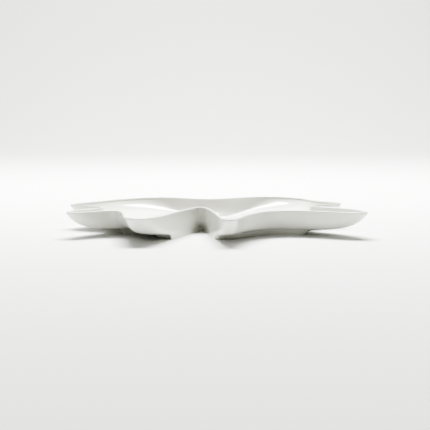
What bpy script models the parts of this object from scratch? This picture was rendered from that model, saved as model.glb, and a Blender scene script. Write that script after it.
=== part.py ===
"""Chip and dip server: a free-form eight-lobed glazed platter with a level rim, and a low round
dip bowl standing in a seat in its right half.

Metres, +Z up.  The origin is on the table, under the middle of the platter's overall width
and depth; the front of the server, with its deepest notch, faces -Y.
"""
import bpy
import bmesh
import math
import numpy as np

# ---------------------------------------------------------------- driving dimensions (metres)
PLATTER_WIDTH = 0.400      # over the left and right lobes, X
PLATTER_DEPTH = 0.325      # over the front and rear lobes, Y
RIM_HEIGHT = 0.0345        # the rim is level
BRIDGE_ACROSS = -0.0092    # middle of the bridge behind the front notch, from which
BRIDGE_BACK = 0.0842       # every wall is drawn outwards
WALL = 0.0042              # wall thickness, measured in plan
LIP = 0.0032               # the same at the rim, where the wall thins
FLOOR = 0.0085             # inside floor above the table
FOOT_BAND = 0.12           # width of the foot's flat standing band, as a share of the foot's reach
FOOT_RECESS = 0.0020       # how far the underside inside the foot stays off the table
FOOT_RISE = 0.175          # shares of the wall's rise taken by the foot's upright side,
FLARE = 0.25               # by the wide shallow run outside it; the turn up at the rim has the rest
TURN_UP = 6                # how suddenly the wall turns up at the rim
FLOOR_SPREAD = 0.16        # how far inside the foot's edge the floor starts to rise, as a share

BOWL_ACROSS = 0.071        # middle of the dip bowl and of its seat
BOWL_BACK = 0.018
BOWL_RIM_RADIUS = 0.030
BOWL_BASE_RADIUS = 0.0215
BOWL_HEIGHT = 0.0125
BOWL_WALL = 0.0034
BOWL_COLLAR = 0.0040       # straight side of the bowl above its base, standing in the seat
SEAT_DEPTH = 0.0015        # round seat cut into the floor
SEAT_CLEARANCE = 0.0005    # radial
REST_GAP = 0.0003          # bowl base above the seat
LIFT_SPACE = 0.030         # cutter height above the seat

SPAN_STEPS = 4             # outline steps between two rim points
BOWL_STEPS = 40

# Rim points round the platter, anticlockwise from above: across and back as shares of half the
# width and depth, and the foot's reach below them as a share of the rim's.
RIM_POINTS = (
    (-0.135, -0.126, 0.89),     # front notch
    (-0.089, -0.045, 0.85),
    (-0.050, -0.121, 0.89),
    (-0.021, -0.291, 0.94),
    (0.011, -0.567, 0.90),
    (0.044, -0.866, 0.73),
    (0.082, -0.988, 0.68),      # front lobe, right
    (0.122, -0.984, 0.68),
    (0.171, -0.842, 0.75),
    (0.303, -0.470, 0.86),
    (0.434, -0.340, 0.88),
    (0.645, -0.372, 0.84),
    (0.941, -0.514, 0.67),
    (0.993, -0.445, 0.65),      # right lobe, front
    (0.855, -0.113, 0.73),
    (0.684, 0.097, 0.80),       # right notch
    (0.901, 0.308, 0.66),       # right lobe, rear
    (0.763, 0.534, 0.71),
    (0.664, 0.785, 0.64),
    (0.434, 0.996, 0.57),       # rear lobe, right
    (0.237, 0.915, 0.61),
    (-0.066, 0.757, 0.55),      # rear notch
    (-0.368, 0.915, 0.58),
    (-0.684, 0.729, 0.56),      # rear lobe, left
    (-0.875, 0.437, 0.65),
    (-0.993, 0.194, 0.62),      # left lobe, rear
    (-0.757, -0.057, 0.78),     # left notch
    (-0.914, -0.291, 0.65),
    (-0.918, -0.490, 0.62),     # left lobe, front
    (-0.658, -0.348, 0.83),
    (-0.572, -0.607, 0.69),
    (-0.493, -0.923, 0.67),     # front lobe, left
    (-0.398, -0.915, 0.69),
    (-0.257, -0.518, 0.94),
)

# ---------------------------------------------------------------- scene and helpers
for item in list(bpy.data.objects):
    bpy.data.objects.remove(item, do_unlink=True)

server = bpy.data.collections.new("chip_and_dip_server")
cutters = bpy.data.collections.new("cutters")
bpy.context.scene.collection.children.link(server)
bpy.context.scene.collection.children.link(cutters)


def glaze(name, colour, roughness):
    """Principled material for one glazed piece."""
    material = bpy.data.materials.new(name)
    material.use_nodes = True
    shader = material.node_tree.nodes["Principled BSDF"]
    shader.inputs["Base Color"].default_value = (*colour, 1.0)
    shader.inputs["Roughness"].default_value = roughness
    shader.inputs["Metallic"].default_value = 0.0
    return material


def add_object(name, points, faces, collection, material=None):
    """Object in a collection from vertex positions and faces, smooth shaded."""
    mesh = bpy.data.meshes.new(name)
    mesh.from_pydata([tuple(p) for p in points], [], faces)
    mesh.shade_smooth()
    obj = bpy.data.objects.new(name, mesh)
    collection.objects.link(obj)
    if material:
        mesh.materials.append(material)
    return obj


# ---------------------------------------------------------------- rim outline
def closed_cubic(points, steps):
    """Smooth closed curve through the points: a periodic cubic with continuous curvature.

    With knots h apart, the second derivatives M solve
    h0 M0 + 2 (h0 + h1) M1 + h1 M2 = 6 ((p2 - p1) / h1 - (p1 - p0) / h0).
    """
    count = len(points)
    after = np.roll(points, -1, axis=0)
    h = np.linalg.norm((after - points)[:, :2], axis=1) ** 0.6
    h /= h.mean()
    slope = (after - points) / h[:, None]
    system = np.zeros((count, count))
    for i in range(count):
        system[i, i - 1] += h[i - 1]
        system[i, i] += 2 * (h[i - 1] + h[i])
        system[i, (i + 1) % count] += h[i]
    bend = np.linalg.solve(system, 6 * (slope - np.roll(slope, 1, axis=0)))
    bend_after = np.roll(bend, -1, axis=0)
    curve = []
    for i in range(count):
        t = np.arange(steps)[:, None] / steps * h[i]
        start = slope[i] - h[i] * (2 * bend[i] + bend_after[i]) / 6
        curve.append(points[i] + start * t + bend[i] / 2 * t ** 2
                     + (bend_after[i] - bend[i]) / (6 * h[i]) * t ** 3)
    return np.vstack(curve)


def rim_outline():
    """Rim outline fitted to the overall width and depth, its outward normals, and foot shares."""
    points = np.array(RIM_POINTS) * (PLATTER_WIDTH / 2, PLATTER_DEPTH / 2, 1.0)
    curve = closed_cubic(points, SPAN_STEPS)
    plan, foot = curve[:, :2], np.minimum(curve[:, 2:], 0.97)
    low, high = plan.min(axis=0), plan.max(axis=0)
    plan = (plan - (low + high) / 2) * (PLATTER_WIDTH, PLATTER_DEPTH) / (high - low)
    along = np.roll(plan, -1, axis=0) - np.roll(plan, 1, axis=0)
    normal = np.stack([along[:, 1], -along[:, 0]], axis=1)
    return plan, normal / np.linalg.norm(normal, axis=1)[:, None], foot


# ---------------------------------------------------------------- platter
def ease(value, low, high):
    t = min(max((value - low) / (high - low), 0.0), 1.0)
    return t * t * (3 - 2 * t)


def outer_rise(run):
    """Rise over a share of the run from foot to rim: upright foot, flare and turn up together."""
    upright = 1 - (1 - min(run / 0.15, 1.0)) ** 2
    return FOOT_RISE * upright + FLARE * run + (1 - FOOT_RISE - FLARE) * run ** TURN_UP


def platter_rings():
    """Rings of the platter's skin, from the middle of the underside round to the floor."""
    plan, normal, foot = rim_outline()
    bridge = np.array([BRIDGE_ACROSS, BRIDGE_BACK])
    shoulder = RIM_HEIGHT - LIP / 2

    def ring(share, thickness, z):
        xy = bridge + (plan - thickness * normal - bridge) * share
        return np.column_stack([xy, np.full(len(plan), z)])

    def outside(run):
        return ring(foot + (1 - foot) * run, 0.0, shoulder * outer_rise(run))

    def lip(angle):
        z = shoulder + LIP / 2 * math.sin(angle)
        return ring(1.0, LIP / 2 * (1 - math.cos(angle)), z)

    def inside(run):
        start = foot - FLOOR_SPREAD
        share = start + (1 - start) * run
        thickness = LIP + (WALL - LIP) * (1 - ease(run, 0.70, 1.0))
        rise = 0.5 * max(run, 0.0) ** 1.3 + 0.5 * max(run, 0.0) ** 7
        return ring(share, thickness, FLOOR + (shoulder - FLOOR) * rise)

    band_in = 1 - FOOT_BAND
    rings = [ring(foot * s, 0.0, FOOT_RECESS) for s in (0.45, band_in - 0.05)]
    rings += [ring(foot * s, 0.0, 0.0) for s in (band_in, 1.0)]
    rings += [outside(s) for s in (0.03, 0.08, 0.15, 0.28, 0.44, 0.58, 0.70, 0.80, 0.88, 0.95, 1.0)]
    rings += [lip(math.radians(a)) for a in (40, 80, 120, 160)]
    rings += [inside(s) for s in (0.985, 0.94, 0.88, 0.81, 0.73, 0.63, 0.52, 0.40, 0.27, 0.13, 0.0)]
    rings += [ring((foot - FLOOR_SPREAD) * s, WALL, FLOOR) for s in (0.6,)]
    return rings


def build_platter():
    rings = platter_rings()
    count = len(rings[0])
    middle = (BRIDGE_ACROSS, BRIDGE_BACK)
    points = np.vstack(rings + [[(*middle, FOOT_RECESS)], [(*middle, FLOOR)]])
    bottom, top = len(points) - 2, len(points) - 1
    faces = []
    for i in range(count):
        j = (i + 1) % count
        faces.append((bottom, j, i))
        for r in range(len(rings) - 1):
            faces.append((r * count + i, r * count + j, (r + 1) * count + j, (r + 1) * count + i))
        faces.append((top, (len(rings) - 1) * count + i, (len(rings) - 1) * count + j))
    return add_object("platter", points, faces, server, glaze("platter_glaze", (0.90, 0.89, 0.87), 0.12))


def cut_seat(platter):
    """Round seat for the bowl's base."""
    cutter_mesh = bpy.data.meshes.new("seat_cutter")
    shape = bmesh.new()
    bmesh.ops.create_cone(shape, cap_ends=True, segments=BOWL_STEPS,
                          radius1=BOWL_BASE_RADIUS + SEAT_CLEARANCE,
                          radius2=BOWL_BASE_RADIUS + SEAT_CLEARANCE, depth=LIFT_SPACE)
    bmesh.ops.translate(shape, verts=shape.verts,
                        vec=(BOWL_ACROSS, BOWL_BACK, FLOOR - SEAT_DEPTH + LIFT_SPACE / 2))
    shape.to_mesh(cutter_mesh)
    shape.free()
    cutter = bpy.data.objects.new("seat_cutter", cutter_mesh)
    cutters.objects.link(cutter)
    cutter.hide_render = True
    cutter.display_type = "WIRE"
    cut = platter.modifiers.new("seat", "BOOLEAN")
    cut.operation = "DIFFERENCE"
    cut.solver = "EXACT"
    cut.object = cutter


# ---------------------------------------------------------------- dip bowl
def build_bowl():
    """Turned bowl: inside from the axis up to the rim, then down the outside to the base."""
    lip = BOWL_WALL / 2
    outer_rim, inner_rim = BOWL_RIM_RADIUS, BOWL_RIM_RADIUS - BOWL_WALL
    top = BOWL_HEIGHT
    profile = [
        (0.0, BOWL_WALL),
        (BOWL_BASE_RADIUS * 0.50, BOWL_WALL),
        (BOWL_BASE_RADIUS * 0.84, BOWL_WALL + 0.0003),
        (BOWL_BASE_RADIUS * 1.02, BOWL_WALL + 0.0019),
        (inner_rim - (inner_rim - BOWL_BASE_RADIUS) * 0.38, BOWL_WALL + (top - BOWL_WALL) * 0.48),
        (inner_rim, top - lip),
    ]
    profile += [(outer_rim - lip - lip * math.cos(math.radians(a)), top - lip + lip * math.sin(math.radians(a)))
                for a in (45, 90, 135)]
    profile += [
        (outer_rim, top - lip),
        (outer_rim - (outer_rim - BOWL_BASE_RADIUS) * 0.42, BOWL_COLLAR + (top - BOWL_COLLAR) * 0.40),
        (BOWL_BASE_RADIUS + 0.0009, BOWL_COLLAR + 0.0007),
        (BOWL_BASE_RADIUS, BOWL_COLLAR),
        (BOWL_BASE_RADIUS, 0.0007),
        (BOWL_BASE_RADIUS - 0.0007, 0.0),
        (0.0, 0.0),
    ]
    mesh = bpy.data.meshes.new("dip_bowl")
    mesh.from_pydata([(x, 0.0, z) for x, z in profile], [(i, i + 1) for i in range(len(profile) - 1)], [])
    bowl = bpy.data.objects.new("dip_bowl", mesh)
    server.objects.link(bowl)
    mesh.materials.append(glaze("dip_bowl_glaze", (0.91, 0.90, 0.88), 0.11))
    bowl.location = (BOWL_ACROSS, BOWL_BACK, FLOOR - SEAT_DEPTH + REST_GAP)
    turn = bowl.modifiers.new("turn", "SCREW")
    turn.steps = BOWL_STEPS
    turn.render_steps = BOWL_STEPS
    turn.use_merge_vertices = True
    turn.merge_threshold = 0.00005
    turn.use_smooth_shade = True


cut_seat(build_platter())
build_bowl()
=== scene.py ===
"""Chip and dip server in glazed white porcelain: an eight-lobed platter and its dip bowl."""
import bpy
import math
import numpy as np
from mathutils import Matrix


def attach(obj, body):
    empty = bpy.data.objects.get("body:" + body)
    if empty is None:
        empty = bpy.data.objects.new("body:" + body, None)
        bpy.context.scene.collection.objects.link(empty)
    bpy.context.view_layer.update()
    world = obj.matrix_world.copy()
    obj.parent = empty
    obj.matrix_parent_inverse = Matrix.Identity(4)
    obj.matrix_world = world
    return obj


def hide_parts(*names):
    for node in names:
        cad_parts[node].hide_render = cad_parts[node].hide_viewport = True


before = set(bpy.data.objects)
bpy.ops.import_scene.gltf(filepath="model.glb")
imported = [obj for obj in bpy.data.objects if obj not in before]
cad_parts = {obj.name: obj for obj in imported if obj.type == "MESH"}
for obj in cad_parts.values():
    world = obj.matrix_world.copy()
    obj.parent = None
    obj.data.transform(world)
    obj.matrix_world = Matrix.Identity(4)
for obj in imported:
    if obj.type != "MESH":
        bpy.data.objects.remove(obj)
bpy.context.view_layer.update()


# ------------------------------------------------------------------ the platter
# One slip-cast porcelain dish of eight lobes with a level rounded rim and a deep notch in front. It
# stands on a low foot that follows its outline, and is glazed all over except for the foot's
# standing band, wiped bare so that the dish doesn't stick to the kiln shelf.
PLATTER_WIDTH, PLATTER_DEPTH = 0.400, 0.325
RIM_HEIGHT = 0.0345
BRIDGE = np.array([-0.0092, 0.0842])  # behind the front notch; the walls are drawn out from here
WALL, LIP = 0.0042, 0.0032
WALL_THINS_FROM = 0.70  # of the run up the inside
FLOOR = 0.0085
FLOOR_SPREAD = 0.16  # from the foot's edge in to the floor's, as a share of the reach to the rim
FOOT_BAND = 0.12  # width of the standing band, as a share of the foot's reach
FOOT_RECESS = 0.0020
FOOT_LIMIT = 0.97  # largest share of the rim's reach that the foot may take
UPRIGHT_RUN = 0.15  # run from the foot outwards in which the wall leaves the table upright
FOOT_RISE, FLARE, TURN_UP = 0.175, 0.25, 6
INNER_SPRING, INNER_TURN_UP = 1.3, 7  # powers of the inside wall's two curves
OUTLINE_STEPS = 14  # between two rim points
SEAT_PLACE = (0.071, 0.018)
SEAT_RADIUS, SEAT_DEPTH, SEAT_SIDES = 0.0220, 0.0015, 128
SEAT_FLOOR = FLOOR - SEAT_DEPTH
SHARP_EDGE = 50  # degrees, past which an edge is left crisp

# Each point's place across and back, as shares of half the width and depth, and the foot's reach
# from the bridge as a share of the rim's.
RIM_POINTS = (
    (-0.135, -0.126, 0.89), (-0.089, -0.045, 0.85), (-0.050, -0.121, 0.89), (-0.021, -0.291, 0.94),
    (0.011, -0.567, 0.90), (0.044, -0.866, 0.73), (0.082, -0.988, 0.68), (0.122, -0.984, 0.68),
    (0.171, -0.842, 0.75), (0.303, -0.470, 0.86), (0.434, -0.340, 0.88), (0.645, -0.372, 0.84),
    (0.941, -0.514, 0.67), (0.993, -0.445, 0.65), (0.855, -0.113, 0.73), (0.684, 0.097, 0.80),
    (0.901, 0.308, 0.66), (0.763, 0.534, 0.71), (0.664, 0.785, 0.64), (0.434, 0.996, 0.57),
    (0.237, 0.915, 0.61), (-0.066, 0.757, 0.55), (-0.368, 0.915, 0.58), (-0.684, 0.729, 0.56),
    (-0.875, 0.437, 0.65), (-0.993, 0.194, 0.62), (-0.757, -0.057, 0.78), (-0.914, -0.291, 0.65),
    (-0.918, -0.490, 0.62), (-0.658, -0.348, 0.83), (-0.572, -0.607, 0.69), (-0.493, -0.923, 0.67),
    (-0.398, -0.915, 0.69), (-0.257, -0.518, 0.94),
)


def closed_cubic(points, steps):
    """Smooth closed curve through the points: a periodic cubic with continuous curvature.

    Second derivatives M solve h0 M0 + 2 (h0 + h1) M1 + h1 M2 = 6 (slope1 - slope0), where h is the
    knot spacing, the plan distance to the power 0.6.
    """
    after = np.roll(points, -1, axis=0)
    h = np.linalg.norm((after - points)[:, :2], axis=1) ** 0.6
    h = (h / h.mean())[:, None]
    slope = (after - points) / h
    middle = np.diag(2 * (np.roll(h, 1) + h)[:, 0])
    before = np.roll(np.diag(np.roll(h, 1)[:, 0]), -1, axis=1)
    system = middle + before + before.T
    bend = np.linalg.solve(system, 6 * (slope - np.roll(slope, 1, axis=0)))
    bend_after = np.roll(bend, -1, axis=0)
    t = (np.arange(steps) / steps)[:, None, None] * h
    start = slope - h * (2 * bend + bend_after) / 6
    curve = points + start * t + bend / 2 * t ** 2 + (bend_after - bend) / (6 * h) * t ** 3
    return curve.transpose(1, 0, 2).reshape(-1, 3)


def rim_outline(steps):
    """Plan and outward normal of the rim, and the foot's share at each place.

    The plan is the closed cubic, moved and stretched to the overall width and depth. The normal is
    the chord between the two neighbours, turned a quarter clockwise.
    """
    curve = closed_cubic(np.array(RIM_POINTS) * (PLATTER_WIDTH / 2, PLATTER_DEPTH / 2, 1), steps)
    low, high = curve[:, :2].min(axis=0), curve[:, :2].max(axis=0)
    plan = (curve[:, :2] - (low + high) / 2) * (PLATTER_WIDTH, PLATTER_DEPTH) / (high - low)
    along = np.roll(plan, -1, axis=0) - np.roll(plan, 1, axis=0)
    normal = np.stack([along[:, 1], -along[:, 0]], axis=1)
    normal /= np.linalg.norm(normal, axis=1, keepdims=True)
    return plan, normal, np.minimum(curve[:, 2:], FOOT_LIMIT)


def smooth_step(value, low, high):
    """0 below low, 1 above high, and 3 t^2 - 2 t^3 between."""
    t = np.clip((value - low) / (high - low), 0, 1)
    return t * t * (3 - 2 * t)


def outer_rise(run):
    """Share of the height over the run from foot to rim.

    An upright foot, FOOT_RISE (1 - (1 - run / UPRIGHT_RUN) ^ 2) up to UPRIGHT_RUN, plus a straight
    flare, plus run ^ TURN_UP for the turn up at the rim.
    """
    upright = 1 - (1 - np.minimum(run / UPRIGHT_RUN, 1)) ** 2
    return FOOT_RISE * upright + FLARE * run + (1 - FOOT_RISE - FLARE) * run ** TURN_UP


def inner_rise(run):
    """Share of the height over the run from floor to rim.

    The mean of run ^ INNER_SPRING, which leaves the floor softly, and run ^ INNER_TURN_UP.
    """
    return (run ** INNER_SPRING + run ** INNER_TURN_UP) / 2


def closed_skin(name, rings, bottom, top, masks):
    """Mesh through rings of points (ring, place, xyz), closed by one pole at each end.

    The rings run from the underside outwards, over the rim and in to the middle of the floor, each
    anticlockwise from above, so that the faces point out.  masks holds one value for each ring and
    place, or for each ring, under each attribute's name; the poles take the nearest ring's mean.
    """
    count, places = rings.shape[:2]
    points = np.vstack([rings.reshape(-1, 3), [bottom], [top]])
    ring = np.arange(count - 1)[:, None] * places
    here, there = np.arange(places), (np.arange(places) + 1) % places
    quads = np.stack([ring + here, ring + there, ring + places + there, ring + places + here], -1)
    last = (count - 1) * places
    low_fan = np.stack([np.full(places, count * places), there, here], -1)
    high_fan = np.stack([np.full(places, count * places + 1), last + here, last + there], -1)
    mesh = bpy.data.meshes.new(name)
    faces = quads.reshape(-1, 4).tolist() + low_fan.tolist() + high_fan.tolist()
    mesh.from_pydata(points, [], faces)
    for mask, values in masks.items():
        grid = np.broadcast_to(np.asarray(values, dtype=float).reshape(count, -1), (count, places))
        data = np.concatenate([grid.ravel(), [grid[0].mean()], [grid[-1].mean()]])
        mesh.attributes.new(mask, "FLOAT", "POINT").data.foreach_set("value", data)
    mesh.shade_smooth()
    mesh.validate()
    piece = bpy.data.objects.new(name, mesh)
    bpy.context.scene.collection.objects.link(piece)
    return piece


def platter_skin():
    """Rings of the platter and its masks.

    The outside is the rim outline drawn towards the bridge to a share between the foot's and 1, at
    the height shoulder outer_rise(run). The inside is the outline set in by the wall, drawn in
    likewise, at FLOOR + (shoulder - FLOOR) inner_rise(run). A half round lip joins them, starting
    and ending where its tangent meets each wall's.
    """
    plan, normal, foot = rim_outline(OUTLINE_STEPS)
    half = LIP / 2
    shoulder = RIM_HEIGHT - half
    square_reach = np.abs(((plan - BRIDGE) * normal).sum(axis=1))[:, None]
    # how far each wall leans from upright where it meets the lip, from its rise's slope there
    steep = FLARE + (1 - FOOT_RISE - FLARE) * TURN_UP
    lean = np.arctan((1 - foot) * square_reach / (shoulder * steep))
    floor_edge = foot - FLOOR_SPREAD
    steep_in = (INNER_SPRING + INNER_TURN_UP) / 2
    lean_in = np.arctan((1 - floor_edge) * square_reach / ((shoulder - FLOOR) * steep_in))

    def ring(share, inset, z):
        xy = BRIDGE + (plan - inset * normal - BRIDGE) * share
        return np.column_stack([xy, np.broadcast_to(np.ravel(z), len(plan))])

    def outside(run):
        fade = run ** TURN_UP
        return ring(foot + (1 - foot) * run, fade * half * (1 - np.cos(lean)),
                    shoulder * outer_rise(run) - fade * half * np.sin(lean))

    def lip(turn):
        angle = -lean + (math.pi + lean + lean_in) * turn
        return ring(1.0, half * (1 - np.cos(angle)), shoulder + half * np.sin(angle))

    def inside(run):
        fade = run ** INNER_TURN_UP
        inset = LIP + (WALL - LIP) * (1 - smooth_step(run, WALL_THINS_FROM, 1.0))
        return ring(floor_edge + (1 - floor_edge) * run,
                    inset - fade * half * (1 - np.cos(lean_in)),
                    FLOOR + (shoulder - FLOOR) * inner_rise(run) - fade * half * np.sin(lean_in))

    # the hollow underside steps down to the standing band; rings crowd together where it curves
    band_edge = 1 - FOOT_BAND
    step_start = band_edge - 0.05
    hollow = np.concatenate([np.linspace(0.05, step_start - 0.01, 14),
                             np.linspace(step_start, band_edge, 8)])
    hollow_z = FOOT_RECESS * (1 - smooth_step(hollow, step_start, band_edge))
    band = np.linspace(band_edge + 0.01, 0.995, 5)
    outer_runs = np.concatenate([np.linspace(0, UPRIGHT_RUN, 12),
                                 np.linspace(UPRIGHT_RUN + 0.02, 1, 44)])
    turns = np.linspace(0, 1, 16)[1:-1]
    inner_runs = 1 - np.linspace(0, 1, 54) ** 1.3
    floor_shares = np.linspace(1, 0, 30)[1:-1]
    parts = [[ring(foot * share, 0.0, z) for share, z in zip(hollow, hollow_z)],
             [ring(foot * share, 0.0, 0.0) for share in band],
             [outside(run) for run in outer_runs],
             [lip(turn) for turn in turns],
             [inside(run) for run in inner_runs],
             [ring(floor_edge * share, WALL, FLOOR) for share in floor_shares]]
    rings = np.array(sum(parts, []))

    # bare standing band, thin glaze over the lip, a darker, cooler tint where each wall springs
    bare, edge, crease = (np.zeros(len(rings)) for _ in range(3))
    starts = np.cumsum([0] + [len(part) for part in parts])
    _, band_rows, outer_rows, lip_rows, inner_rows, _ = [
        slice(a, b) for a, b in zip(starts[:-1], starts[1:])]
    bare[band_rows] = 1.0
    edge[lip_rows] = np.sin(turns * math.pi)
    # darker, cooler tint where the outer wall turns out from the upright foot and where the inner
    # wall springs from the floor
    crease[outer_rows] = np.clip(1 - np.abs(outer_runs - UPRIGHT_RUN) / 0.12, 0, 1)
    crease[inner_rows] = (smooth_step(inner_runs, 0.0, 0.12)
                        * (1 - smooth_step(inner_runs, 0.15, 0.45)))
    return rings, {"bare": bare, "edge": edge, "crease": crease}


platter_rings, platter_masks = platter_skin()
platter = closed_skin("platter_body", platter_rings, (*BRIDGE, FOOT_RECESS), (*BRIDGE, FLOOR),
                      platter_masks)


def round_plug(name, place, radius, low, high, sides):
    """Closed upright cylinder: a circle of sides points at low and another at high."""
    here, there = np.arange(sides), (np.arange(sides) + 1) % sides
    turn = here / sides * 2 * math.pi
    x, y = place[0] + radius * np.cos(turn), place[1] + radius * np.sin(turn)
    points = np.vstack([np.column_stack([x, y, np.full(sides, z)]) for z in (low, high)])
    walls = np.stack([here, there, there + sides, here + sides], -1).tolist()
    caps = [here[::-1].tolist(), (here + sides).tolist()]
    mesh = bpy.data.meshes.new(name)
    mesh.from_pydata(points, [], walls + caps)
    piece = bpy.data.objects.new(name, mesh)
    bpy.context.scene.collection.objects.link(piece)
    return piece


def sink_seat(body):
    """Cut the round seat into the platter's floor and keep the cut mesh."""
    plug = round_plug("seat_plug", SEAT_PLACE, SEAT_RADIUS, SEAT_FLOOR, SEAT_FLOOR + RIM_HEIGHT,
                      SEAT_SIDES)
    cut = body.modifiers.new("seat", "BOOLEAN")
    cut.operation, cut.solver, cut.object = "DIFFERENCE", "EXACT", plug
    solved = body.evaluated_get(bpy.context.evaluated_depsgraph_get())
    body.data = bpy.data.meshes.new_from_object(solved)
    body.modifiers.clear()
    bpy.data.objects.remove(plug)
    body.data.shade_smooth()
    body.data.set_sharp_from_angle(angle=math.radians(SHARP_EDGE))


sink_seat(platter)
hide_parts("platter")
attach(platter, "platter")


GLAZE_IOR = 1.52
BISCUIT_ROUGHNESS = 0.75
PEEL_HEIGHT, TOOTH_HEIGHT = 0.0002, 0.0003


def porcelain_group():
    """Glazed porcelain: colour, roughness and surface normal of a clear glaze over a white body.

    The colour drifts a little from place to place, is warmer where the glaze runs thin over an edge
    and darker and cooler in the creases where each wall springs, and is a matt cream on the bare
    foot. The surface has the faint orange peel of a fired glaze and the fine tooth of bare biscuit.
    Noise scales are waves to the metre.
    """
    group = bpy.data.node_groups.new("glazed_porcelain", "ShaderNodeTree")
    for name, kind, value in (
            ("Body Colour", "NodeSocketColor", (0.86, 0.865, 0.815, 1)),
            ("Drift Colour", "NodeSocketColor", (0.84, 0.84, 0.785, 1)),
            ("Thin Glaze Colour", "NodeSocketColor", (0.90, 0.905, 0.865, 1)),
            ("Crease Colour", "NodeSocketColor", (0.80, 0.82, 0.78, 1)),
            ("Biscuit Colour", "NodeSocketColor", (0.74, 0.70, 0.63, 1)),
            ("Edge", "NodeSocketFloat", 0.0), ("Crease", "NodeSocketFloat", 0.0),
            ("Bare", "NodeSocketFloat", 0.0), ("Glaze Roughness", "NodeSocketFloat", 0.10),
            ("Peel", "NodeSocketFloat", 0.10)):
        socket = group.interface.new_socket(name, in_out="INPUT", socket_type=kind)
        socket.default_value = value
    for name, kind in (("Colour", "NodeSocketColor"), ("Roughness", "NodeSocketFloat"),
                       ("Normal", "NodeSocketVector")):
        group.interface.new_socket(name, in_out="OUTPUT", socket_type=kind)
    node, link = group.nodes.new, group.links.new
    into, out = node("NodeGroupInput"), node("NodeGroupOutput")
    place = node("ShaderNodeTexCoord").outputs["Object"]

    def noise(scale, detail):
        texture = node("ShaderNodeTexNoise")
        texture.inputs["Scale"].default_value = scale
        texture.inputs["Detail"].default_value = detail
        link(place, texture.inputs["Vector"])
        return texture.outputs["Fac"]

    def remap(value, low, high, to_low, to_high):
        spread = node("ShaderNodeMapRange")
        for socket, number in zip(spread.inputs[1:5], (low, high, to_low, to_high)):
            socket.default_value = number
        link(value, spread.inputs["Value"])
        return spread.outputs["Result"]

    def mix_colour(factor, a, b):
        mix = node("ShaderNodeMix")
        mix.data_type = "RGBA"
        link(factor, mix.inputs["Factor"])
        link(a, mix.inputs["A"])
        link(b, mix.inputs["B"])
        return mix.outputs["Result"]

    def multiply(a, b):
        product = node("ShaderNodeMath")
        product.operation = "MULTIPLY"
        link(a, product.inputs[0])
        if isinstance(b, float):
            product.inputs[1].default_value = b
        else:
            link(b, product.inputs[1])
        return product.outputs["Value"]

    drift = remap(noise(14, 3), 0.35, 0.65, 0, 1)
    colour = mix_colour(drift, into.outputs["Body Colour"], into.outputs["Drift Colour"])
    uneven = remap(noise(60, 2), 0.3, 0.7, 0.5, 1.0)
    colour = mix_colour(multiply(multiply(into.outputs["Crease"], uneven), 0.8), colour,
                        into.outputs["Crease Colour"])
    colour = mix_colour(multiply(multiply(into.outputs["Edge"], uneven), 0.8), colour,
                        into.outputs["Thin Glaze Colour"])
    colour = mix_colour(into.outputs["Bare"], colour, into.outputs["Biscuit Colour"])
    link(colour, out.inputs["Colour"])

    glaze_gloss = node("ShaderNodeMath")
    glaze_gloss.operation = "ADD"
    link(into.outputs["Glaze Roughness"], glaze_gloss.inputs[0])
    link(remap(noise(45, 3), 0.3, 0.7, -0.02, 0.03), glaze_gloss.inputs[1])
    rough = node("ShaderNodeMix")
    link(into.outputs["Bare"], rough.inputs["Factor"])
    link(glaze_gloss.outputs["Value"], rough.inputs["A"])
    rough.inputs["B"].default_value = BISCUIT_ROUGHNESS
    link(rough.outputs["Result"], out.inputs["Roughness"])

    peel = node("ShaderNodeBump")
    peel.inputs["Distance"].default_value = PEEL_HEIGHT
    link(into.outputs["Peel"], peel.inputs["Strength"])
    link(noise(260, 1), peel.inputs["Height"])
    tooth = node("ShaderNodeBump")
    tooth.inputs["Distance"].default_value = TOOTH_HEIGHT
    link(into.outputs["Bare"], tooth.inputs["Strength"])
    link(noise(2200, 2), tooth.inputs["Height"])
    link(peel.outputs["Normal"], tooth.inputs["Normal"])
    link(tooth.outputs["Normal"], out.inputs["Normal"])
    return group


porcelain = porcelain_group()


def glazed(name, **settings):
    """Principled material of glazed porcelain; settings are the group's own values."""
    material = bpy.data.materials.new(name)
    material.use_nodes = True
    tree = material.node_tree
    shader = tree.nodes["Principled BSDF"]
    shader.inputs["IOR"].default_value = GLAZE_IOR
    glaze = tree.nodes.new("ShaderNodeGroup")
    glaze.node_tree = porcelain
    for socket, value in settings.items():
        glaze.inputs[socket.replace("_", " ")].default_value = value
    for mask in ("edge", "crease", "bare"):
        reader = tree.nodes.new("ShaderNodeAttribute")
        reader.attribute_name = mask
        tree.links.new(reader.outputs["Fac"], glaze.inputs[mask.capitalize()])
    tree.links.new(glaze.outputs["Colour"], shader.inputs["Base Color"])
    tree.links.new(glaze.outputs["Roughness"], shader.inputs["Roughness"])
    tree.links.new(glaze.outputs["Normal"], shader.inputs["Normal"])
    return material


platter.data.materials.append(glazed("platter_porcelain"))


# ------------------------------------------------------------------ the dip bowl
# A small low bowl of the same porcelain, thrown round. It stands loose in the platter's seat on a
# base wiped bare of glaze, and its straight collar keeps it from sliding.
SEAT_CLEARANCE, REST_GAP = 0.0005, 0.0003
BOWL_RIM, BOWL_BASE = 0.030, SEAT_RADIUS - SEAT_CLEARANCE
BOWL_HEIGHT, BOWL_WALL, BOWL_COLLAR = 0.0125, 0.0034, 0.0040
BASE_ROUND, COLLAR_ROUND, COLLAR_STEP = 0.0008, 0.0004, 0.0012
WELL_ROUND = 0.0010
WELL_SHARE = 0.90  # of the base's radius, to where the inside turns up
BOWL_REST = SEAT_FLOOR + REST_GAP
BOWL_MIDDLE = 0.0020  # first and last ring, next to the pole
BOWL_PLACES = 192


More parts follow.
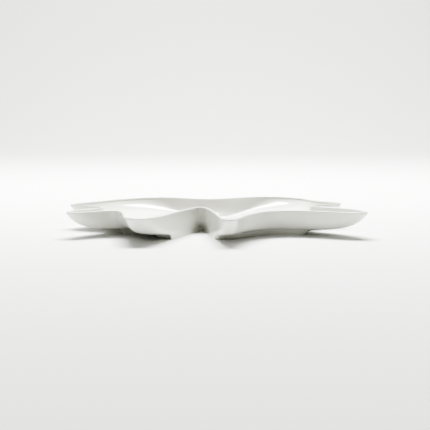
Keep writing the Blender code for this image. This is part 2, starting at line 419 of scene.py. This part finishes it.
def bowl_skin(places):
    """Rings of the bowl: its half section, turned once about the upright axis.

    The section is a chain of cubic arcs, each from one point and direction to the next: the two
    ends and the two tangents, as long as the chord, weighted by Hermite's four cubics.
    """
    lip = BOWL_WALL / 2
    inner_rim = BOWL_RIM - BOWL_WALL
    # reach, height, direction in degrees and steps of the arc that starts there
    outer_stations = (
        (BOWL_MIDDLE, 0.0, 0, 10),
        (BOWL_BASE - BASE_ROUND, 0.0, 0, 6),
        (BOWL_BASE, BASE_ROUND, 90, 6),
        (BOWL_BASE, BOWL_COLLAR - COLLAR_ROUND, 90, 6),
        (BOWL_BASE + COLLAR_STEP, BOWL_COLLAR + 2 * COLLAR_ROUND, 36, 26),
        (BOWL_RIM, BOWL_HEIGHT - lip, 78, 8),
        (BOWL_RIM - lip, BOWL_HEIGHT, 180, 8),
    )
    inner_stations = (
        (inner_rim, BOWL_HEIGHT - lip, 255, 34),
        (BOWL_BASE * WELL_SHARE, BOWL_WALL + WELL_ROUND, 190, 14),
        (BOWL_MIDDLE, BOWL_WALL, 180, 0),
    )
    stations = outer_stations + inner_stations
    section = []
    for (x0, z0, a0, steps), (x1, z1, a1, _) in zip(stations[:-1], stations[1:]):
        t = np.arange(steps)[:, None] / steps
        pull = math.hypot(x1 - x0, z1 - z0)
        start, end = np.array([x0, z0]), np.array([x1, z1])
        leave = pull * np.array([math.cos(math.radians(a0)), math.sin(math.radians(a0))])
        arrive = pull * np.array([math.cos(math.radians(a1)), math.sin(math.radians(a1))])
        section.append((2 * t ** 3 - 3 * t ** 2 + 1) * start + (t ** 3 - 2 * t ** 2 + t) * leave
                       + (3 * t ** 2 - 2 * t ** 3) * end + (t ** 3 - t ** 2) * arrive)
    section = np.vstack(section + [[stations[-1][:2]]])
    turn = np.linspace(0, 2 * math.pi, places, endpoint=False)
    reach, height = section[:, :1], section[:, 1:]
    rings = np.stack([SEAT_PLACE[0] + reach * np.cos(turn), SEAT_PLACE[1] + reach * np.sin(turn),
                      BOWL_REST + height + 0 * turn], axis=-1)
    inside = np.arange(len(section))[:, None] > sum(station[3] for station in outer_stations)
    bare = (height < 0.0001) & ~inside  # the flat of the base
    edge = smooth_step(height, BOWL_HEIGHT - 1.4 * lip, BOWL_HEIGHT)
    # darker, cooler tint in the inner corner where the bowl's inside turns up from its base
    crease = inside * (1 - smooth_step(np.abs(reach - BOWL_BASE * 0.95), 0.001, 0.006))
    return rings, {"bare": bare, "edge": edge, "crease": crease}


bowl_rings, bowl_masks = bowl_skin(BOWL_PLACES)
dip_bowl = closed_skin("dip_bowl_body", bowl_rings, (*SEAT_PLACE, BOWL_REST),
                       (*SEAT_PLACE, BOWL_REST + BOWL_WALL), bowl_masks)
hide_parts("dip_bowl")
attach(dip_bowl, "dip_bowl")
dip_bowl.data.materials.append(glazed("dip_bowl_porcelain", Glaze_Roughness=0.08))


# ------------------------------------------------------------------ table, light and camera
# A white seamless sweep under three soft lights: a softbox overhead and a little behind the dish, a
# weak fill in front, and a wash on the backdrop that the glaze doesn't mirror. The dim air of the
# studio is faintly yellow.
SWEEP_WIDTH, SWEEP_FRONT, SWEEP_BACK, SWEEP_RADIUS, SWEEP_TOP = 8.0, -3.0, 2.6, 0.8, 3.0
PAPER_COLOUR = (0.80, 0.805, 0.795, 1)
STUDIO_COLOUR, STUDIO_STRENGTH = (1.0, 1.0, 0.92, 1), 0.12
CAMERA_PLACE, CAMERA_TILT, CAMERA_LENS = (0.0026, -1.2967, 0.1592), 6.01, 79.97


def sweep():
    """Paper backdrop: a floor, a quarter round and an upright back, drawn across its width."""
    turn = np.linspace(0, math.pi / 2, 24)
    y = np.concatenate([[SWEEP_FRONT], SWEEP_BACK + SWEEP_RADIUS * np.sin(turn),
                        [SWEEP_BACK + SWEEP_RADIUS]])
    z = np.concatenate([[0.0], SWEEP_RADIUS * (1 - np.cos(turn)), [SWEEP_TOP]])
    x = np.array([-SWEEP_WIDTH / 2, SWEEP_WIDTH / 2])
    points = np.stack(np.broadcast_arrays(x, y[:, None], z[:, None]), -1).reshape(-1, 3)
    row = np.arange(len(y) - 1)[:, None] * 2
    faces = (row + np.array([0, 1, 3, 2])).tolist()
    mesh = bpy.data.meshes.new("sweep")
    mesh.from_pydata(points, [], faces)
    mesh.shade_smooth()
    backdrop = bpy.data.objects.new("sweep", mesh)
    bpy.context.scene.collection.objects.link(backdrop)
    paper = bpy.data.materials.new("sweep_paper")
    paper.use_nodes = True
    shader = paper.node_tree.nodes["Principled BSDF"]
    shader.inputs["Base Color"].default_value = PAPER_COLOUR
    shader.inputs["Roughness"].default_value = 0.9
    shader.inputs["Specular IOR Level"].default_value = 0.1
    mesh.materials.append(paper)


def area_light(name, location, size, power, aim=(0, 0, 0)):
    """Flat rectangular softbox of size (width, height) in metres, facing aim; power in watts."""
    data = bpy.data.lights.new(name, "AREA")
    data.shape = "RECTANGLE"
    data.size, data.size_y = size
    data.energy = power
    softbox = bpy.data.objects.new(name, data)
    bpy.context.scene.collection.objects.link(softbox)
    softbox.location = location
    direction = np.array(aim) - np.array(location)
    yaw = math.atan2(direction[1], direction[0])
    tilt = math.atan2(math.hypot(direction[0], direction[1]), -direction[2])
    softbox.rotation_euler = (tilt, 0, yaw - math.pi / 2)
    return softbox


sweep()
area_light("overhead_softbox", (0.0, 0.75, 1.75), (1.6, 0.8), 48)
area_light("front_fill", (0.0, -2.0, 1.9), (3.0, 1.2), 3)
backdrop_wash = area_light("backdrop_wash", (0.0, 2.0, 2.3), (4.0, 1.4), 52, aim=(0, 3.3, 0.2))
backdrop_wash.visible_glossy = False

world = bpy.data.worlds.new("studio")
world.use_nodes = True
studio_air = world.node_tree.nodes["Background"]
studio_air.inputs["Color"].default_value = STUDIO_COLOUR
studio_air.inputs["Strength"].default_value = STUDIO_STRENGTH
bpy.context.scene.world = world
view = bpy.context.scene.view_settings
view.view_transform = "AgX"
view.look = "AgX - Very High Contrast"
view.gamma = 0.72
view.exposure = 1.1

camera_data = bpy.data.cameras.new("camera")
camera_data.sensor_width = 36.0
camera_data.lens = CAMERA_LENS
camera = bpy.data.objects.new("camera", camera_data)
bpy.context.scene.collection.objects.link(camera)
camera.location = CAMERA_PLACE
camera.rotation_euler = (math.radians(90 - CAMERA_TILT), 0, 0)
bpy.context.scene.camera = camera
